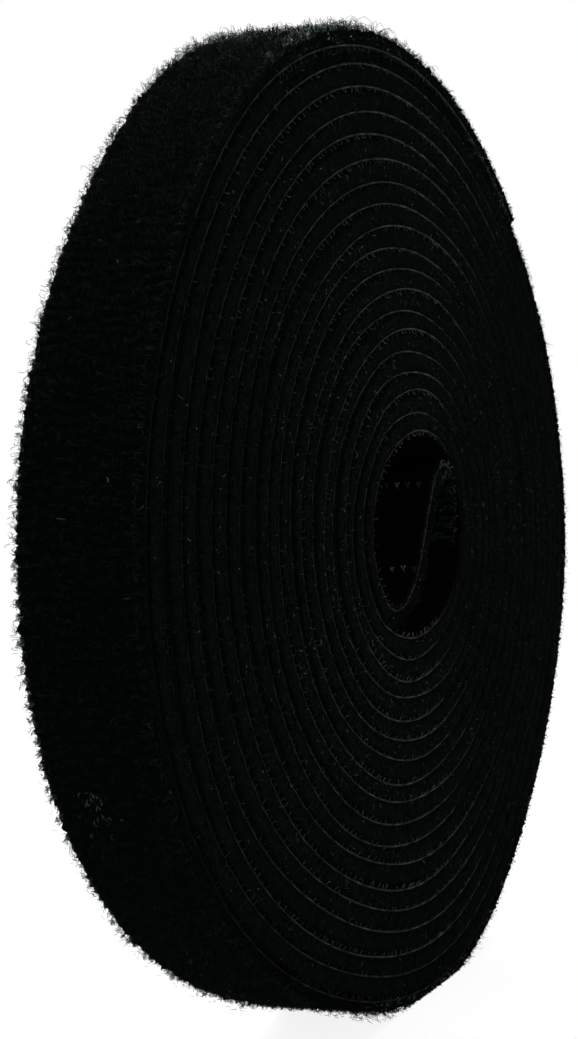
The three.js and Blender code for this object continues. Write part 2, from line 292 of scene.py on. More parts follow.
class TapeRoute:
    """Middle line of the film from the outer end to the inner tip, in the roll's plane, in millimetres."""

    def __init__(self, settings):
        self.size = SimpleNamespace(**{
            name: getattr(settings, name) if name == "loops_per_stitch" else getattr(settings, name) / MM
            for name in settings.__annotations__})
        self.wide = self.size.tape_width / 2
        self.film_face = self.size.film_thickness / 2
        self.sweep = FULL_TURNS * TURN + INNER_END_ANGLE - OUTER_END_ANGLE
        swept = np.arange(0, self.sweep + 0.01, SWEEP_STEP)
        wound = self.wound_points(swept)
        lead = self.wound_points(self.sweep - LINK_ANGLE * np.array([2, 1, 0]))
        tail = np.array(TAIL_LEAD + TAIL_ROOT + TAIL_LEG + TAIL_FOLD + TAIL_TIP) * self.size.bore_radius
        smooth = smooth_through(np.vstack([lead, tail]), TAIL_STEPS)[2 * TAIL_STEPS:]
        self.points = np.vstack([wound[:-1], smooth])
        self.swept = np.concatenate([swept[:-1], np.full(len(smooth), self.sweep)])
        self.at = np.concatenate([[0.0], np.cumsum(np.hypot(*np.diff(self.points, axis=0).T))])
        along = np.gradient(self.points, self.at, axis=0)
        self.along = along / np.linalg.norm(along, axis=1)[:, None]
        self.length = self.at[-1]
        first = len(wound) - 1
        self.hinges = [self.run_at(LINK_ANGLE * k) for k in range(PEEL_LINKS, 0, -1)]
        self.half_link = (self.hinges[0] - self.hinges[1]) / 2
        self.rim_end = self.run_at(LINK_ANGLE * PEEL_LINKS + TURN) + RIM_LAP
        self.tail_root = self.at[first + TAIL_STEPS * 2]
        self.fold = self.at[first + TAIL_STEPS * (3 + len(TAIL_LEG))]
        self.wound_start = self.hinges[0] + self.half_link
        self.wound_end = self.tail_root - TAIL_LAP

    def radius(self, swept):
        """Film radius after a swept angle from the outer end, with the roll's slackness."""
        size = self.size
        turns = (self.sweep - swept) / TURN
        angle = np.radians(OUTER_END_ANGLE + swept)
        fade = np.clip(1 - turns / OVAL_TURNS, 0, None) ** OVAL_FADE
        oval = size.bore_widening + size.bore_oval * np.cos(2 * (angle - math.radians(BORE_OVAL_ANGLE)))
        lobes = sum(tall * np.cos(count * (angle - math.radians(at))) for count, tall, at in LOBES)
        lobes = lobes * (1 - smooth_share(swept / TURN, *LOBE_FADE))
        waver = ripple(np.radians(swept), WAVER)
        waver = waver * smooth_share(turns, 0.0, 1.0) * smooth_share(swept / TURN, *WAVER_FADE)
        slack = sum(bump(swept, spot) for spot in SLACK_SPOTS)
        return size.bore_radius + size.turn_pitch * turns + fade * oval + lobes + waver + slack

    def wound_points(self, swept):
        angle = np.radians(OUTER_END_ANGLE + swept)
        return self.radius(swept)[:, None] * np.stack([np.cos(angle), np.sin(angle)], -1)

    def run_at(self, swept):
        wound = self.swept < self.sweep
        return float(np.interp(swept, self.swept[wound], self.at[wound]))

    def swept_at(self, run):
        return np.interp(run, self.at, self.swept)

    def room(self, run):
        """Distance out to the next turn's film, without end on the last turn."""
        swept = self.swept_at(run)
        outer = self.radius(np.maximum(swept - TURN, 0))
        return np.where(swept >= TURN, outer - self.radius(swept), np.inf)

    def covered(self, run):
        """One on the stretch of rim that lies under the outer end, eased in from its edge."""
        return smooth_share(self.swept_at(run), *UNDER_END)

    def fluffed(self, run):
        """How much taller the nap stands where it has been fluffed up, as a share."""
        return sum(bump(self.swept_at(run), spot) for spot in FLUFFED)

    def foot(self, run):
        """Thickness of the ground on the rim, with the nap's dense foot where the crest is fluffed up."""
        return self.size.ground_thickness * (1 + bump(self.swept_at(run), CREST))

    def flare(self, run, across):
        """Lift of the last turn where its back edge has spread away from the roll."""
        share = (across / self.size.tape_width + 0.5 - FLARE_START) / (1 - FLARE_START)
        return sum(bump(self.swept_at(run), spot) for spot in BACK_FLARES) * np.clip(share, 0, None)

    def place(self, run, lift, across):
        """Points in metres for a run along the tape, a lift on the pile side and a place across."""
        run, lift, across = np.broadcast_arrays(np.asarray(run, float), lift, across)
        x, z, tx, tz = (np.interp(run, self.at, column) for column in (*self.points.T, *self.along.T))
        far = np.hypot(tx, tz)
        lift = lift + self.flare(run, across)
        x = x + lift * tz / far
        z = z - lift * tx / far + self.size.axis_height
        soft = FLOOR_SOFT - FLOOR_LEAST
        pressed = FLOOR_LEAST + soft * np.exp(np.minimum(0.0, z - FLOOR_SOFT) / soft)
        y = across + ripple(run, EDGE_DRIFT)
        return np.stack([x, y, np.where(z < FLOOR_SOFT, pressed, z)], -1) * MM


def new_mesh(name, places, faces, maps=(), values=(), flat=0):
    """Object from an array of places and lists of equal-sided faces, the last few of them shaded flat."""
    mesh = bpy.data.meshes.new(name)
    mesh.vertices.add(len(places))
    mesh.vertices.foreach_set("co", np.asarray(places, np.float32).ravel())
    loops = np.concatenate([f.ravel() for f in faces])
    totals = np.concatenate([np.full(len(f), f.shape[1]) for f in faces])
    mesh.loops.add(len(loops))
    mesh.loops.foreach_set("vertex_index", loops.astype(np.int32))
    mesh.polygons.add(len(totals))
    mesh.polygons.foreach_set("loop_start", (np.cumsum(totals) - totals).astype(np.int32))
    mesh.polygons.foreach_set("loop_total", totals.astype(np.int32))
    mesh.update(calc_edges=True)
    mesh.polygons.foreach_set("use_smooth", np.arange(len(totals)) < len(totals) - flat)
    for title, uv in maps:
        layer = mesh.uv_layers.new(name=title)
        layer.uv.foreach_set("vector", np.asarray(uv, np.float32).ravel())
    for title, value in values:
        held = mesh.attributes.new(title, "FLOAT", "POINT")
        held.data.foreach_set("value", np.asarray(value, np.float32).ravel())
    thing = bpy.data.objects.new(name, mesh)
    bpy.context.scene.collection.objects.link(thing)
    return thing


def tube_faces(count, rings, sides):
    """Sides, heads and tails of a number of closed tubes of rings of vertices."""
    n, i, j = np.meshgrid(np.arange(count), np.arange(rings - 1), np.arange(sides), indexing="ij")
    near = (n * rings + i) * sides
    k = (j + 1) % sides
    quads = np.stack([near + j, near + k, near + sides + k, near + sides + j], -1).reshape(-1, 4)
    ring = np.arange(sides)[None]
    first = (np.arange(count) * rings * sides)[:, None]
    return quads, first + ring[:, ::-1], first + (rings - 1) * sides + ring


def strip_object(name, route, runs, lift, across, wear):
    """Closed strip along the tape from rings of lifts and places across, one ring for each run."""
    count, sides = lift.shape
    places = route.place(runs[:, None], lift, across).reshape(-1, 3)
    faces = tube_faces(1, count, sides)
    i, j = np.meshgrid(np.arange(count - 1), np.arange(sides), indexing="ij")
    rows = max(1, int(math.sqrt((runs[-1] - runs[0]) / BAKE_ROW)))
    span = math.ceil((count - 1) / rows)
    row, column = np.divmod(i, span)
    u = np.stack([column, column, column + 1, column + 1], -1) / span
    v = np.stack([j, j + 1, j + 1, j], -1) / sides
    v = (row[..., None] + ROW_EDGE + (1 - 2 * ROW_EDGE) * v) / rows
    turn = 2 * np.pi * np.arange(sides) / sides
    cap = 0.5 + 0.004 * np.stack([np.cos(turn), np.sin(turn)], -1)
    bake = np.vstack([np.stack([u, v], -1).reshape(-1, 2), cap[::-1], cap])
    spot = np.stack([np.repeat(runs, sides), across.ravel()], -1) * 0.1
    tape = np.concatenate([spot[face.ravel()] for face in faces])
    worn_and_painted_light = np.broadcast_to(wear, lift.shape)
    return new_mesh(name, places, faces, [("OFBake", bake), ("TapeRun", tape)], [("Wear", worn_and_painted_light)], flat=2)


def strand_object(name, paths, radius, shade, sides=3):
    """Thin closed tubes along an array of paths (strand, point, xyz), with a value of wear and painted light
    for each strand.
    """
    count, rings, _ = paths.shape
    ahead = np.gradient(paths, axis=1)
    ahead /= np.linalg.norm(ahead, axis=2, keepdims=True) + TINY
    up = np.where(np.abs(ahead[:, :1, 1:2]) < 0.8, np.array([0.0, 1.0, 0.0]), np.array([1.0, 0.0, 0.0]))
    side = np.cross(ahead, up)
    side /= np.linalg.norm(side, axis=2, keepdims=True) + TINY
    other = np.cross(ahead, side)
    turn = 2 * np.pi * np.arange(sides) / sides
    radius = np.broadcast_to(radius, (count, rings))[..., None, None] * MM
    places = paths[:, :, None] + radius * (np.cos(turn)[:, None] * side[:, :, None]
                                           + np.sin(turn)[:, None] * other[:, :, None])
    faces = tube_faces(count, rings, sides)
    cells = math.ceil(math.sqrt(count))
    n, i, j = np.meshgrid(np.arange(count), np.arange(rings), np.arange(sides), indexing="ij")
    u = (n % cells + CELL_EDGE + CELL_SPAN * j / (sides - 1)) / cells
    v = (n // cells + CELL_EDGE + CELL_SPAN * i / (rings - 1) + 0.06 * (j % 2)) / cells
    spot = np.stack([u, v], -1).reshape(-1, 2)
    bake = np.concatenate([spot[face.ravel()] for face in faces])
    maps = [("OFBake", bake), ("TapeRun", np.zeros_like(bake))]
    # Painted shade: each strand darkens from its tip towards its root.
    tip = np.linspace(0.45, 1.0, rings)[None, :, None]
    worn_and_painted_light = np.broadcast_to(shade[:, None, None] * tip, (count, rings, sides))
    return new_mesh(name, places.reshape(-1, 3), faces, maps, [("Wear", worn_and_painted_light)])


def join_pieces(name, pieces):
    """One object from several, which keeps their maps, values and materials."""
    with bpy.context.temp_override(active_object=pieces[0], selected_editable_objects=pieces):
        bpy.ops.object.join()
    pieces[0].name = name
    return pieces[0]


def run_steps(start, end, step):
    return np.linspace(start, end, max(2, int(round((end - start) / step)) + 1))


def painted_edge_light(route, runs):
    """Painted light and shade on the film's edge: most at top and bottom, less where nap leans over the
    sides.
    """
    swept = route.swept_at(runs)
    angle = np.radians(OUTER_END_ANGLE + swept)
    right = np.cos(angle) > 0
    least = np.where(right, 0.05, 0.15 + 0.22 * smooth_share(swept, 2200, 5000))
    plain = least + (1 - least) * np.abs(np.sin(angle)) ** np.where(right, 7.0, 2.0)
    # Painted shade: the lower half of the outer turns is darker.
    return plain * np.where(np.sin(angle) < 0, 0.4 + 0.6 * smooth_share(swept, 250, 1000), 1.0)


def film_strip(name, route, start, end, step, scuff_and_painted_light=1.0, swell=1.0):
    """Hook film: a thin plate whose edges are broken towards the hooks, scuffed there and given a painted
    highlight.
    """
    half, wide = route.film_face, route.wide
    # Each point's last value is its scuffing plus a painted highlight on the broken edge.
    edge = np.array([(-half, wide - 0.6, 0.0), (-half, wide - 0.1, 0.2), (-half + 0.07, wide, 0.8),
                     (half - 0.02, wide, 0.6), (half, wide - 0.04, 0.0)])
    lift, place, worn_and_painted_light = np.roll(np.vstack([edge, edge[::-1] * (1, -1, 1)]), 1, axis=0).T
    runs = run_steps(start, end, step)
    outward = np.sign(place) * (np.abs(place) > wide - 0.2)
    across = place[None] + outward[None] * ripple(runs, FILM_WAVES)[:, None]
    patchy = 0.75 + 0.25 * np.sin(runs * 0.83 + 2) * np.sin(runs * 0.31)
    flecks = 0.8 + 0.4 * np.sin(runs * 6.7) * np.sin(runs * 4.3 + 1)
    # Patchy scuffs times the edge's painted light and shade.
    patchy = scuff_and_painted_light * patchy * painted_edge_light(route, runs) * flecks
    thick = 1 + (swell - 1) * np.sin(np.linspace(0, np.pi, len(runs)))
    return strip_object(name, route, runs, lift[None] * thick[:, None], across, worn_and_painted_light[None] * patchy[:, None])


def course_stray(run, across):
    """How far a course of loops has wandered along the tape, as a share of the course."""
    return (0.3 * np.sin(1.7 * across + 0.9 * np.sin(0.45 * run)) + 0.25 * np.sin(0.41 * run - 0.8 * across)
            + 0.15 * np.sin(3.9 * across + 1.3 * run))


def ground_strip(name, route, start, end, step, tall, middle, ridge, seed):
    """Knitted ground and the dense foot of the pile, ridged along its courses and ragged at its edges."""
    rng = np.random.default_rng(seed)
    share = np.array([0, 0.12, 0.35, 0.65, 0.9, 1, 1])
    half = route.wide + np.array([-0.06, -0.02, 0.06, 0.16, 0.22, 0.08, -0.7])
    across = np.concatenate([half, [2.6, 1.3, 0.0, -1.3, -2.6], -half[::-1]])
    share = np.concatenate([share, [1] * 5, share[::-1]])
    at_edge = np.abs(across) > route.wide - 0.5
    runs = run_steps(start, end, step)
    edge, inner = (np.broadcast_to(thick(runs), runs.shape)[:, None] for thick in (tall, middle))
    lift = route.film_face + np.where(at_edge, edge, inner) * share
    run = runs[:, None]
    crest = 0.5 + 0.5 * np.cos(2 * np.pi * (run / route.size.pile_course - course_stray(run, across)))
    crest = crest * (0.55 + 0.45 * np.sin(1.9 * run + 2 * np.sin(1.3 * across))
                     * np.sin(2.1 * across + 0.7 * run))
    lift = lift + ridge * (crest - 0.3) * (share > 0.8)
    ragged = (share > 0) & at_edge
    lift = lift + np.where(ragged, 0.07, 0.03) * rng.normal(0, 1, lift.shape) * (share > 0)
    spread = across + np.where(ragged, 0.06, 0.0) * rng.normal(0, 1, lift.shape)
    # Painted shade: the ground darkens towards the film and between the crests of its courses.
    return strip_object(name, route, runs, lift, spread, 0.25 * crest * share + 0.1)


def edge_hook_places(route, start, end, side, pitch, rng):
    """Runs and places of hooks along one edge of the film."""
    runs = np.arange(start + HOOK_MARGIN, end - HOOK_MARGIN, pitch)
    runs = runs + rng.normal(0, 0.15, len(runs))
    return runs, side * (route.wide - 0.06 - np.abs(rng.normal(0, 0.05, len(runs))))


def hook_object(name, route, runs, across, seed, scuff_and_painted_light=1.0):
    """Short hooks along an edge of the film, splayed outwards, each bent one way or the other."""
    rng = np.random.default_rng(seed)
    many = len(runs)
    tall = 0.75 * route.size.hook_height * rng.uniform(0.6, 1.15, many)[:, None]
    way = np.where(rng.random(many) < 0.5, -1.0, 1.0)[:, None]
    rise = np.array([-0.04, 0.5, 0.86, 1.0, 0.8]) * tall
    reach = np.array([0, 0.03, 0.14, 0.34, 0.5]) * tall
    splay = np.sign(across)[:, None] * np.array([0, 0.35, 0.7, 0.9, 1.0])
    splay = splay * rng.uniform(0.0, 0.3, many)[:, None]
    paths = route.place(runs[:, None] + way * reach, -route.film_face - rise, across[:, None] + splay)
    radius = np.array([0.09, 0.07, 0.06, 0.055, 0.035])
    # The edge hooks take the film edge's painted light and shade.
    shade = scuff_and_painted_light * painted_edge_light(route, runs) * rng.uniform(0.15, 1.1, many)
    return strand_object(name, paths, radius, shade, sides=4)


def forked_hook_object(name, route, runs, across, seed, glint=0.0):
    """Hooks of a free stretch: a stem whose head forks to both sides and on along the tape."""
    size = route.size
    rng = np.random.default_rng(seed)
    runs, across = np.repeat(runs, 2), np.repeat(across, 2)
    pairs = len(runs) // 2
    tall = size.hook_height * np.repeat(rng.uniform(0.85, 1.15, pairs), 2)[:, None]
    way = np.tile([-1.0, 1.0], pairs)[:, None]
    rise = np.array([-0.04, 0.5, 0.85, 1.0, 0.85]) * tall
    aside = way * np.array([0, 0.03, 0.14, 0.3, 0.42]) * tall
    ahead = np.array([0, 0.1, 0.3, 0.6, 0.85]) * tall
    paths = route.place(runs[:, None] + ahead, -route.film_face - rise, across[:, None] + aside)
    radius = np.array([0.1, 0.085, 0.08, 0.075, 0.05])
    heights = paths[:, 0, 2] / MM - size.axis_height
    # Painted glints: tail hooks in two bands of height get a bright colour where light catches them.
    caught = sum(np.abs(heights - row) < BRIGHT_HOOK_BAND for row in BRIGHT_HOOK_ROWS) > 0
    shade = np.where(caught, glint * np.repeat(rng.uniform(0.2, 1.0, pairs) ** 2, 2), 0.0)
    return strand_object(name, paths, radius, shade, sides=4)


def hook_rows(route, start, end, seed):
    """Runs and places of full rows of hooks between two runs."""
    rng = np.random.default_rng(seed)
    pitch = route.size.hook_row_pitch
    rows = np.arange(math.ceil((start + HOOK_MARGIN) / pitch) + 0.5, (end - 0.5) / pitch) * pitch
    columns = np.arange(-route.wide + 0.3, route.wide - HOOK_MARGIN, route.size.hook_column_pitch)
    run, across = np.meshgrid(rows, columns, indexing="ij")
    run = run + rng.normal(0, 0.05, run.shape)
    return run.ravel(), across.ravel()


def fibre_wear(many, bright, rng):
    """Wear of each fibre: most are deep, a share of them bright."""
    return np.where(rng.random(many) < bright, rng.uniform(0.3, 2.2, many), rng.random(many) ** 3 * 0.24)


def pile_object(name, route, start, end, seed, fluff=1.0, frayed=0.0, painted_pile_light=0.0):
    """Napped loops in courses across the tape, clumped by stitch, each bent over to a side of its own."""
    size, wide = route.size, route.wide
    rng = np.random.default_rng(seed)
    last = (end - frayed) / size.pile_course
    courses = np.arange(math.ceil(start / size.pile_course), last) * size.pile_course
    run, across = np.meshgrid(courses, np.arange(-wide + 0.1, wide - 0.05, size.pile_wale), indexing="ij")
    across = across + size.pile_wale / 2 * (np.arange(len(courses)) % 2)[:, None]
    run = run + size.pile_course * course_stray(run, across)
    clump = np.repeat(rng.normal(0, 1, (run.size, 3)), size.loops_per_stitch, 0)
    run = np.repeat(run.ravel(), size.loops_per_stitch)
    across = np.repeat(across.ravel(), size.loops_per_stitch)
    many = len(run)
    run = run + rng.normal(0, 0.08, many)
    across = np.clip(across + rng.normal(0, 0.18, many), -wide, wide)
    loose = fluff * end_taper(run) * (1 + route.fluffed(run))
    under = np.clip((route.room(run) - 0.08) / size.pile_height, 1.0, UNDER_TALLEST)
    loose = loose + route.covered(run) * (np.maximum(under, loose) - loose)
    tall = (size.pile_height * loose - PILE_FOOT) * rng.uniform(0.6, 1.0, many)
    tall = tall * np.clip(1 + 0.15 * clump[:, 2], 0.4, 1.4)
    tangle = (1 + CREST_TANGLE * bump(route.swept_at(run), CREST))[:, None]
    lean_run = tangle * (0.12 * clump[:, 0] + rng.normal(0.04, 0.15, many))[:, None]
    lean_across = tangle * (0.18 * clump[:, 1] + rng.normal(0, 0.25, many))[:, None]
    rise = np.array([-0.25, 0.55, 0.95, 1.0, 0.6])
    reach = np.array([0.0, 0.1, 0.42, 0.8, 1.15])
    runs = np.clip(run[:, None] + lean_run * reach, start, end - frayed * rng.random((many, 1)))
    paths = route.place(runs, PILE_FOOT + tall[:, None] * rise, across[:, None] + lean_across * reach)
    radius = size.fibre_radius * np.array([1.0, 1.0, 1.0, 0.9, 0.6])
    # painted_pile_light lightens the whole stretch: painted light.
    wear = 0.7 * fibre_wear(many, 0.001, rng) + 0.025 * np.clip(clump[:, 2], 0, None) + painted_pile_light
    return strand_object(name, paths, radius, wear)


def fuzz_object(name, route, start, end, side, per_mm, tall, seed, bright=0.01):
    """Curls of nap that stick out of the tape's edge, furthest where the pile is free."""
    foot = route.film_face
    rng = np.random.default_rng(seed)
    many = int((end - start) * per_mm)
    run = rng.uniform(start, end, many)
    top = np.broadcast_to(tall(run), run.shape)
    share = rng.uniform(0.05, 1.0, many) ** 0.8
    out = rng.uniform(0.06, 0.16, many) + 0.24 * share * rng.random(many)
    out = np.where(rng.random(many) < 0.015, out * 1.4, out)[:, None]
    turn = rng.uniform(0, 2 * np.pi, many)
    bend = rng.uniform(0.15, 0.5, many)
    curl = np.array([0.0, 0.25, 0.7, 1.0])
    runs = np.clip(run[:, None] + (bend * np.cos(turn))[:, None] * curl, start, end)
    lifts = (foot + share * top)[:, None] + (bend * np.sin(turn))[:, None] * curl
    lifts = np.clip(lifts, foot + 0.04, top[:, None] + 0.2)
    reach = np.array([0.0, 0.75, 1.0, 0.85])
    paths = route.place(runs, lifts, side * (route.wide - FUZZ_ROOT + (out + FUZZ_ROOT) * reach))
    radius = route.size.fibre_radius * np.array([1.1, 1.1, 1.0, 0.7])
    return strand_object(name, paths, radius, fibre_wear(many, bright, rng))


def hair_object(name, route, start, end, tufts_per_mm, seed, side, wear):
    """Tufts of loose, crimped hair on one edge of the tape, or on the pile's crown where side is zero, made
    pale by painted rim light.
    """
    size, wide = route.size, route.wide
    rng = np.random.default_rng(seed)
    tufts = int((end - start) * tufts_per_mm)
    owner = np.repeat(np.arange(tufts), HAIRS_PER_TUFT)
    many = len(owner)
    spot = rng.uniform(start, end, tufts)
    if side:
        spot = np.clip(np.round(spot / size.pile_course) * size.pile_course, start, end)
    run = spot[owner] + rng.normal(0, 0.15, many)
    reach = rng.uniform(0.05, 0.26, tufts)[owner] * rng.uniform(0.5, 1.0, many)
    lean = rng.normal(0, 0.08, (tufts, 2))[owner] + rng.normal(0, 0.1, (many, 2))
    swept = route.swept_at(run)
    if side:
        across = side * (wide - np.abs(rng.normal(0, 0.12, many)))
        root = rng.uniform(0.2, 0.95, tufts)[owner] + rng.normal(0, 0.06, many)
        out, up = side * reach, lean[:, 1]
        lit = np.where((side < 0) & (swept < FRONT_HAIR_LIGHT_END), bump(swept, FRONT_HAIR_LIGHT_SPOT), 1.0)
    else:
        across = rng.uniform(-wide, wide, tufts)[owner] + rng.normal(0, 0.09, many)
        root = rng.uniform(0.62, 0.9, many)
        out, up = lean[:, 1], reach
        inner = smooth_share(across, *CROWN_LIGHT_ACROSS)
        started = smooth_share(swept - CROWN_LIGHT_SHIFT[0] * inner, *CROWN_LIGHT_START)
        lit = started * (1 - smooth_share(swept + CROWN_LIGHT_SHIFT[1] * inner, *CROWN_LIGHT_END))
        lit = CROWN_LIGHT_LEAST + (1 - CROWN_LIGHT_LEAST) * lit
    root = root * size.pile_height * (1 + route.fluffed(run))
    share = np.array([0.0, 0.4, 0.75, 1.0])
    crimp = rng.normal(0, 0.35, (3, many, 4)) * share * reach[:, None]
    runs = np.clip(run[:, None] + lean[:, :1] * share + crimp[0], start, end)
    lifts = root[:, None] + up[:, None] * share + crimp[1]
    paths = route.place(runs, lifts, across[:, None] + out[:, None] * share + crimp[2])
    radius = size.fibre_radius * np.array([0.9, 0.9, 0.8, 0.5])
    # Painted rim light: the hairs' paleness by place, with a random spread.
    shade = lit * (wear[0] + (wear[1] - wear[0]) * rng.random(many) ** 3)
    return strand_object(name, paths, radius, shade)


def lint_object(name, route, seed):
    """Curls of pale lint caught in the pile, in patches."""
    size = route.size
    rng = np.random.default_rng(seed)
    run, across = np.concatenate([
        np.stack([route.run_at(swept) + rng.normal(0, spread, count),
                  at + rng.normal(0, 0.6 * spread, count)])
        for swept, at, spread, count in LINT], axis=1)
    many = len(run)
    turn = rng.uniform(0, 2 * np.pi, many)
    sweep = turn[:, None] + rng.uniform(1.5, 4.0, many)[:, None] * np.linspace(0, 1, 6)
    curl = rng.uniform(0.06, 0.2, many)[:, None]
    lift = size.pile_height * rng.uniform(0.85, 1.05, many)[:, None] + 0.08 * np.sin(2 * sweep)
    paths = route.place(run[:, None] + curl * np.cos(sweep), lift, across[:, None] + curl * np.sin(sweep))
    return strand_object(name, paths, size.fibre_radius, rng.uniform(1.0, 4.0, many))


def add_node(tree, kind, inputs=None, **settings):
    """Node with its settings, whose inputs are values or other nodes' sockets."""
    node = tree.nodes.new(kind)
    for key, value in settings.items():
        setattr(node, key, value)
    for key, value in (inputs or {}).items():
        if isinstance(value, bpy.types.NodeSocket):
            tree.links.new(value, node.inputs[key])
        else:
            node.inputs[key].default_value = value
    return node


def wear_and_light_finish_group():
    """Mixes a deep and a worn colour and roughness by a value of wear and painted light, and noise."""
    name = "Worn finish"
    if name in bpy.data.node_groups:
        return bpy.data.node_groups[name]
    group = bpy.data.node_groups.new(name, "ShaderNodeTree")
    number, tint = "NodeSocketFloat", "NodeSocketColor"
    for title, kind, default in (
            ("Vector", "NodeSocketVector", (0, 0, 0)), ("Wear", number, 0.5), ("Colour", tint, (0, 0, 0, 1)),
            ("Worn Colour", tint, (0, 0, 0, 1)), ("Roughness", number, 0.6), ("Worn Roughness", number, 0.5),
            ("Scale", number, 1.0)):
        socket = group.interface.new_socket(name=title, in_out="INPUT", socket_type=kind)
        socket.default_value = default
    for title, kind in (("Colour", tint), ("Roughness", number), ("Height", number)):
        group.interface.new_socket(name=title, in_out="OUTPUT", socket_type=kind)
    given = group.nodes.new("NodeGroupInput").outputs
    noise = add_node(group, "ShaderNodeTexNoise", {"Vector": given["Vector"], "Scale": given["Scale"],
                                                   "Detail": 5.0, "Roughness": 0.65})
    spread = add_node(group, "ShaderNodeMapRange", {"Value": noise.outputs["Fac"], "From Min": 0.3,
                                                    "From Max": 0.7, "To Min": 0.35, "To Max": 1.25})
    share = add_node(group, "ShaderNodeMath", {0: spread.outputs["Result"], 1: given["Wear"]},
                     operation="MULTIPLY").outputs[0]
    tone = add_node(group, "ShaderNodeMix", {0: share, 6: given["Colour"], 7: given["Worn Colour"]},
                    data_type="RGBA", clamp_factor=False)
    rough = add_node(group, "ShaderNodeMix", {0: share, 2: given["Roughness"], 3: given["Worn Roughness"]},
                     data_type="FLOAT")
    add_node(group, "NodeGroupOutput", {"Colour": tone.outputs[2], "Roughness": rough.outputs[0],
                                        "Height": noise.outputs["Fac"]})
    return group


def tape_material(name):
    """Finish of one kind of piece: worn colour by the piece's own wear and painted light, grain, and a low
    gloss.
    """
    if name in bpy.data.materials:
        return bpy.data.materials[name]
    colours = bpy.context.scene.tape_roll_colours
    deep, worn_and_painted_light, gain, roughness, specular, stretch, grain = FINISHES[name]
    material = bpy.data.materials.new(name)
    material.use_nodes = True
    tree = material.node_tree
    shader = tree.nodes["Principled BSDF"]
    spot = add_node(tree, "ShaderNodeTexCoord")
    scale = add_node(tree, "ShaderNodeMapping", {"Vector": spot.outputs["Object"], "Scale": stretch})
    wear = add_node(tree, "ShaderNodeAttribute", attribute_name="Wear")
    finish = add_node(tree, "ShaderNodeGroup", {
        "Vector": scale.outputs["Vector"], "Wear": wear.outputs["Fac"],
        "Colour": (*getattr(colours, deep), 1),
        "Worn Colour": (*(gain * value for value in getattr(colours, worn_and_painted_light)), 1),
        "Roughness": roughness[0], "Worn Roughness": roughness[1]}, node_tree=wear_and_light_finish_group())
    height = finish.outputs["Height"]
    if name == "Loop ground":
        run = add_node(tree, "ShaderNodeUVMap", uv_map="TapeRun")
        wales = add_node(tree, "ShaderNodeTexWave", {"Vector": run.outputs["UV"], "Scale": 8.0,
                                                     "Distortion": 2.0, "Detail": 2.0}, bands_direction="Y")
        height = add_node(tree, "ShaderNodeMath", {0: height, 1: wales.outputs["Fac"]},
                          operation="ADD").outputs[0]
    relief = add_node(tree, "ShaderNodeBump", {"Height": height, "Strength": grain, "Distance": GRAIN_DEPTH})
    tree.links.new(finish.outputs["Colour"], shader.inputs["Base Color"])
    tree.links.new(finish.outputs["Roughness"], shader.inputs["Roughness"])
    tree.links.new(relief.outputs["Normal"], shader.inputs["Normal"])
    shader.inputs["Specular IOR Level"].default_value = specular
    return material


def coat(finish, pieces):
    for piece in pieces:
        piece.data.materials.append(tape_material(finish))


def on_roll(piece, finish):
    """Dresses a piece that stays with the roll."""
    coat(finish, [piece])
    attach(piece, "roll")


def film_piece(name, route, start, end, seed, scuff_and_painted_light=1.0, glint=0.0, pitch=0.8, swell=1.0):
    """Film with hooks along its edges and in full rows, for a stretch that lies free."""
    film = film_strip(name, route, start, end, FREE_FILM_STEP, scuff_and_painted_light, swell)
    coat("Hook film", [film])
    rng = np.random.default_rng(seed)
    hooks = []
    for side in (-1, 1):
        runs, across = edge_hook_places(route, start, end, side, pitch, rng)
        hooks.append(hook_object(f"{name}_edge_{side}", route, runs, across, seed + side, scuff_and_painted_light))
    runs, across = hook_rows(route, start, end, seed)
    if len(runs):
        hooks.append(forked_hook_object(name + "_rows", route, runs, across, seed, glint))
    coat("Moulded hook", hooks)
    film = join_pieces(name, [film, *hooks])
    return film


def pile_piece(name, route, start, end, seed, fluff=1.0, bright=0.12, tufts_per_mm=16.0, frayed=0.0,
               painted_pile_light=0.0, front_tufts=0.0):
    """Ground, standing loops, edge fuzz and loose hairs, for a stretch that lies free."""

    def tall(runs):
        return route.foot(runs) * fluff * end_taper(runs)

    def fuzzy(runs):
        return tall(runs) + FUZZ_RISE

    ridge = route.size.course_ridge * fluff
    base = ground_strip(name, route, start, end - frayed, FREE_GROUND_STEP, tall, tall, ridge, seed)
    coat("Loop ground", [base])
    nap = [pile_object(name + "_loops", route, start, end, seed + 1, fluff, frayed, painted_pile_light),
           fuzz_object(name + "_front", route, start, end, -1, FRONT_FUZZ, fuzzy, seed + 2, bright),
           fuzz_object(name + "_back", route, start, end, 1, FREE_BACK_FUZZ, fuzzy, seed + 3)]
    coat("Napped pile", nap)
    hairs = [hair_object(name + "_crown", route, start, end, tufts_per_mm, seed + 4, 0, CROWN_HAIR_LIGHT),
             hair_object(name + "_rear", route, start, end, 0.5 * tufts_per_mm, seed + 5, 1, REAR_HAIR_LIGHT),
             hair_object(name + "_fore", route, start, end, front_tufts, seed + 6, -1, FORE_HAIR_LIGHT)]
    coat("Loose hair", hairs)
    piece = join_pieces(name, [base, *nap, *hairs])
    return piece


class RollStep:
    """Shared by the operators"""

    bl_options = {"REGISTER", "UNDO"}


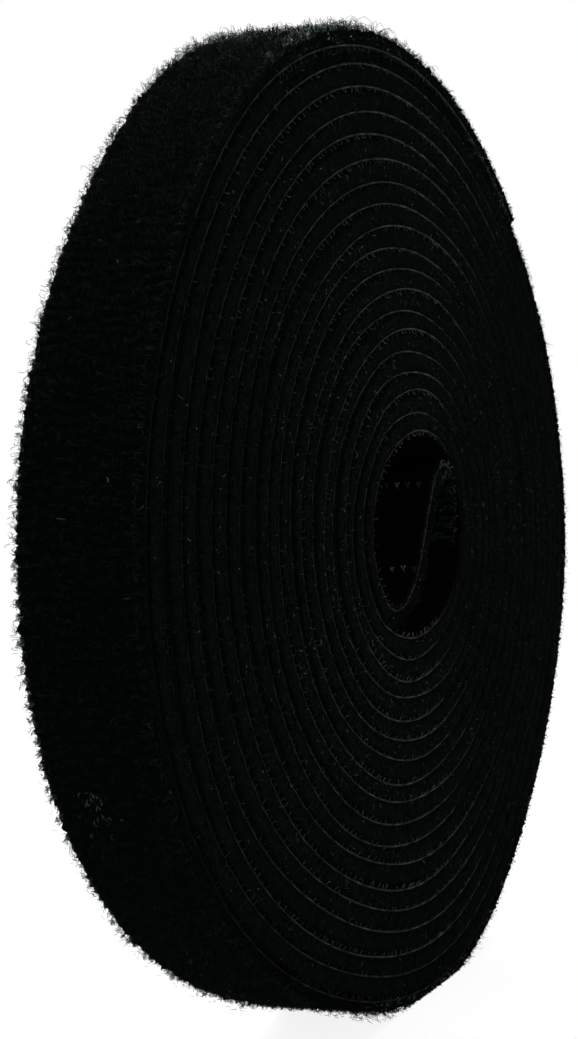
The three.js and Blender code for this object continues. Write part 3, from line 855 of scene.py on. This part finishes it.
class TAPEROLL_OT_wound_film(RollStep, bpy.types.Operator):
    """Film of the wound turns, with the hooks that show along its edges and in the bore"""

    bl_idname = "tape_roll.wound_film"
    bl_label = "Wound film"

    def execute(self, context):
        route = TapeRoute(context.scene.tape_roll_sizes)
        start, end = route.wound_start, route.wound_end
        film = film_strip("wound_film", route, start, end, WOUND_FILM_STEP)
        on_roll(film, "Hook film")
        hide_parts("hook_film_wound")
        rng = np.random.default_rng(11)
        for side, title in ((-1, "front"), (1, "back")):
            runs, across = edge_hook_places(route, start, end, side, route.size.edge_hook_pitch, rng)
            hooks = hook_object("edge_hooks_" + title, route, runs, across, 12 + side)
            on_roll(hooks, "Moulded hook")
        runs, across = hook_rows(route, end - HOOKED_BORE, end, 15)
        hooks = forked_hook_object("bore_hooks", route, runs, across, 16)
        on_roll(hooks, "Moulded hook")
        return {"FINISHED"}


class TAPEROLL_OT_wound_fabric(RollStep, bpy.types.Operator):
    """Ground, rim pile and edge fuzz of the wound loop fabric"""

    bl_idname = "tape_roll.wound_fabric"
    bl_label = "Wound fabric"

    def execute(self, context):
        route = TapeRoute(context.scene.tape_roll_sizes)
        size = route.size
        start, rim_end, end = route.wound_start, route.rim_end, route.wound_end

        def rim_middle(runs):
            under = np.clip(route.room(runs) - COVERED_CLEARANCE, size.ground_thickness, COVERED_MOST)
            return route.foot(runs) + route.covered(runs) * (under - route.foot(runs))

        def fill(runs):
            return np.minimum(size.wound_fill, route.room(runs) - FILL_CLEARANCE)

        def packed(runs):
            return np.minimum(PACKED_MOST, route.room(runs) - PACKED_CLEARANCE)

        rim = ground_strip("rim_ground", route, start, rim_end, FREE_GROUND_STEP, route.foot, rim_middle,
                           size.course_ridge, 21)
        on_roll(rim, "Loop ground")
        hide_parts("loop_fabric_wound")
        cuts = np.linspace(rim_end, end, 4)
        for i in range(3):
            ground = ground_strip(f"wound_ground_{i + 1}", route, cuts[i], cuts[i + 1], WOUND_GROUND_STEP,
                                  fill, packed, 0.0, 22 + i)
            on_roll(ground, "Loop ground")
        cuts = np.linspace(start, rim_end, 7)
        for i in range(6):
            pile = pile_object(f"rim_pile_{i + 1}", route, cuts[i], cuts[i + 1], 31 + i)
            on_roll(pile, "Napped pile")
        for title, first, last, *looks in RIM_HAIRS:
            hairs = hair_object(title, route, max(start, route.run_at(first)), route.run_at(last), *looks)
            on_roll(hairs, "Loose hair")
        on_roll(lint_object("rim_lint", route, 40), "Loose hair")
        cuts = np.concatenate([[start], np.linspace(rim_end - RIM_FUZZ_LAP, end, 4)])
        for side, title, per_mm in ((-1, "front", FRONT_FUZZ), (1, "back", WOUND_BACK_FUZZ)):
            for i, (bright, thick) in enumerate(WOUND_FUZZ):
                fuzz = fuzz_object(f"edge_fuzz_{title}_{i + 1}", route, cuts[i], cuts[i + 1], side,
                                   per_mm * thick, fill, 41 + i + 5 * side, bright)
                on_roll(fuzz, "Napped pile")
        return {"FINISHED"}


class TAPEROLL_OT_outer_end(RollStep, bpy.types.Operator):
    """Free outer end, in stretches between its hinges"""

    bl_idname = "tape_roll.outer_end"
    bl_label = "Outer end"

    def execute(self, context):
        route = TapeRoute(context.scene.tape_roll_sizes)
        half = route.half_link
        bodies = ["roll"] + [f"outer_end_{i}" for i in range(1, PEEL_LINKS + 1)]
        for i, hinge in enumerate(route.hinges, 1):
            start, end = hinge - half, hinge + half
            film = film_piece(f"end_film_{i}", route, start, end, 100 + i)
            pile = pile_piece(f"end_pile_{i}", route, start, end, 200 + 10 * i, front_tufts=4.0)
            before = Vector(route.place(hinge + half * END_BLEND, 0.0, 0.0))
            after = Vector(route.place(hinge - half * END_BLEND, 0.0, 0.0))
            for piece in (film, pile):
                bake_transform(piece)
            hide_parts(f"hook_film_peel_{i}")
            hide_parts(f"loop_fabric_peel_{i}")
        last = route.hinges[-1] - half
        film = film_piece("end_film_7", route, OUTER_TRIM, last, 107)
        pile = pile_piece("end_pile_7", route, OUTER_TRIM, last, 270)
        for piece in (film, pile):
            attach(piece, bodies[-1])
        return {"FINISHED"}


class TAPEROLL_OT_inner_tail(RollStep, bpy.types.Operator):
    """Inner tail: its root in the bore, the rising leg, the fold and the hanging tip"""

    bl_idname = "tape_roll.inner_tail"
    bl_label = "Inner tail"

    def execute(self, context):
        route = TapeRoute(context.scene.tape_roll_sizes)
        root, fold, tip = route.tail_root, route.fold, route.length
        stretches = [("root", root - TAIL_LAP, root + TAIL_LAP), ("leg", root + TAIL_LAP, fold - TAIL_LAP),
                     ("fold", fold - TAIL_LAP, fold + TAIL_LAP), ("tip", fold + TAIL_LAP, tip)]
        made = {}
        for i, (title, start, end) in enumerate(stretches):
            scuff_and_painted_light, bright, pitch, swell, frayed, painted_pile_light = TAIL_LOOKS.get(title, TAIL_PLAIN)
            film = film_piece(f"tail_film_{title}", route, start, end - 2 * frayed, 301 + i, scuff_and_painted_light,
                              TAIL_GLINT, pitch, swell)
            pile = pile_piece(f"tail_pile_{title}", route, start, end - frayed / 2, 310 + 10 * i, TAIL_FLUFF,
                              bright, TAIL_TUFTS, frayed, painted_pile_light)
            made[title] = (film, pile)
        for title, bodies, hinge in (("root", ("roll", "tail_leg"), root),
                                     ("fold", ("tail_leg", "tail_tip"), fold)):
            before = Vector(route.place(hinge - TAIL_LAP * TAIL_BLEND, 0.0, 0.0))
            after = Vector(route.place(hinge + TAIL_LAP * TAIL_BLEND, 0.0, 0.0))
            for piece in made[title]:
                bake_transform(piece)
        for title, body in (("leg", "tail_leg"), ("tip", "tail_tip")):
            for piece in made[title]:
                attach(piece, body)
        for title, ply in (("leg", "tail"), ("tip", "tip")):
            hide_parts(f"hook_film_{ply}")
            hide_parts(f"loop_fabric_{ply}")
        return {"FINISHED"}


def place_camera(scene):
    """Camera at the photograph's own place."""
    size = scene.tape_roll_sizes
    turn, rise, roll = (math.radians(a) for a in (VIEW_TURN, VIEW_RISE, VIEW_ROLL))
    back = Vector((-math.sin(turn) * math.cos(rise), -math.cos(turn) * math.cos(rise), math.sin(rise)))
    level = Vector((math.cos(turn), -math.sin(turn), 0))
    upright = back.cross(level)
    right = level * math.cos(roll) - upright * math.sin(roll)
    up = level * math.sin(roll) + upright * math.cos(roll)
    centre = Vector((0, -size.tape_width / 2, size.axis_height))
    spot = centre + (back * VIEW_DISTANCE - right * VIEW_SIDE - up * VIEW_LIFT) * MM
    camera = bpy.data.cameras.new("Photo camera")
    camera.sensor_fit = "VERTICAL"
    camera.sensor_height = 36.0
    camera.lens = VIEW_FOCUS
    camera.clip_start = 0.005
    camera.clip_end = 20.0
    thing = bpy.data.objects.new("Photo camera", camera)
    thing.matrix_world = Matrix.Translation(spot) @ Matrix((right, up, back)).transposed().to_4x4()
    scene.collection.objects.link(thing)
    scene.camera = thing


def softbox(scene, name, place, target, size, power):
    lamp = bpy.data.lights.new(name, "AREA")
    lamp.shape = "DISK"
    lamp.size = size
    lamp.energy = power
    thing = bpy.data.objects.new(name, lamp)
    thing.location = place
    thing.rotation_euler = (Vector(target) - Vector(place)).to_track_quat("-Z", "Y").to_euler()
    scene.collection.objects.link(thing)


def seen_directly(tree):
    """One where the camera sees a surface straight, in a mirror or through glass."""
    rays = add_node(tree, "ShaderNodeLightPath").outputs
    mirror = add_node(tree, "ShaderNodeMath", {0: rays["Is Camera Ray"], 1: rays["Is Glossy Ray"]},
                      operation="MAXIMUM")
    return add_node(tree, "ShaderNodeMath", {0: mirror.outputs[0], 1: rays["Is Transmission Ray"]},
                    operation="MAXIMUM").outputs[0]


def mixed_output(tree, output, share, first, second):
    """Puts a mix of two shaders out."""
    shown = add_node(tree, "ShaderNodeMixShader", {0: share, 1: first.outputs[0], 2: second.outputs[0]})
    tree.links.new(shown.outputs[0], tree.nodes[output].inputs["Surface"])


def white_surround(scene):
    """World that lights the roll softly and shows as white."""
    world = bpy.data.worlds.new("White surround")
    scene.world = world
    world.use_nodes = True
    tree = world.node_tree
    soft = tree.nodes["Background"]
    soft.inputs["Color"].default_value = WHITE
    soft.inputs["Strength"].default_value = SURROUND_LIGHT
    white = add_node(tree, "ShaderNodeBackground", {"Color": WHITE, "Strength": 1.0})
    mixed_output(tree, "World Output", seen_directly(tree), soft, white)


def studio_floor(scene):
    """Pale round floor that keeps a faint shadow of the roll and is plain white further off."""
    turn = 2 * np.pi * np.arange(FLOOR_SIDES) / FLOOR_SIDES
    ring = FLOOR_RADIUS * np.stack([np.cos(turn), np.sin(turn), 0 * turn], -1)
    floor = new_mesh("studio_floor", ring, [np.arange(FLOOR_SIDES)[None]])
    material = bpy.data.materials.new("Pale floor")
    material.use_nodes = True
    tree = material.node_tree
    shader = tree.nodes["Principled BSDF"]
    shader.inputs["Base Color"].default_value = (*scene.tape_roll_colours.floor, 1)
    shader.inputs["Roughness"].default_value = 0.9
    shader.inputs["Specular IOR Level"].default_value = 0.1
    white = add_node(tree, "ShaderNodeEmission", {"Color": WHITE, "Strength": 1.0})
    spot = add_node(tree, "ShaderNodeTexCoord")
    far = add_node(tree, "ShaderNodeVectorMath", {0: spot.outputs["Object"]}, operation="LENGTH")
    fade = add_node(tree, "ShaderNodeMapRange", {"Value": far.outputs["Value"], "From Min": 0.1,
                                                 "From Max": 0.4, "To Min": 0.87, "To Max": 1.0})
    share = add_node(tree, "ShaderNodeMath", {0: seen_directly(tree), 1: fade.outputs["Result"]},
                     operation="MULTIPLY")
    mixed_output(tree, "Material Output", share.outputs[0], shader, white)
    floor.data.materials.append(material)


class TAPEROLL_OT_stage(RollStep, bpy.types.Operator):
    """Pale floor, white surround, soft lights and the photograph's camera"""

    bl_idname = "tape_roll.stage"
    bl_label = "Stage"

    def execute(self, context):
        scene = context.scene
        scene.view_settings.view_transform = "Standard"
        place_camera(scene)
        white_surround(scene)
        studio_floor(scene)
        for settings in SOFTBOXES:
            softbox(scene, *settings)
        return {"FINISHED"}


PIECE_OPERATORS = (TAPEROLL_OT_stage, TAPEROLL_OT_wound_film, TAPEROLL_OT_wound_fabric, TAPEROLL_OT_outer_end,
                   TAPEROLL_OT_inner_tail)


class TAPEROLL_PT_pieces(bpy.types.Panel):
    """Lists the roll's pieces, sizes and colours"""

    bl_idname = "TAPEROLL_PT_pieces"
    bl_label = "Hook and loop tape roll"
    bl_space_type = "VIEW_3D"
    bl_region_type = "UI"
    bl_category = "Tape roll"

    def draw(self, context):
        for operator in PIECE_OPERATORS:
            self.layout.operator(operator.bl_idname)
        for settings in (context.scene.tape_roll_sizes, context.scene.tape_roll_colours):
            for title in settings.__annotations__:
                self.layout.prop(settings, title)


CLASSES = (TapeRollSizes, TapeRollColours, *PIECE_OPERATORS, TAPEROLL_PT_pieces)


def register():
    for item in CLASSES:
        bpy.utils.register_class(item)
    bpy.types.Scene.tape_roll_sizes = PointerProperty(type=TapeRollSizes)
    bpy.types.Scene.tape_roll_colours = PointerProperty(type=TapeRollColours)


def unregister():
    del bpy.types.Scene.tape_roll_colours
    del bpy.types.Scene.tape_roll_sizes
    for item in reversed(CLASSES):
        bpy.utils.unregister_class(item)


def main():
    register()
    bpy.ops.tape_roll.stage()
    bpy.ops.tape_roll.wound_film()
    bpy.ops.tape_roll.wound_fabric()
    bpy.ops.tape_roll.outer_end()
    bpy.ops.tape_roll.inner_tail()


if __name__ == "__main__":
    main()
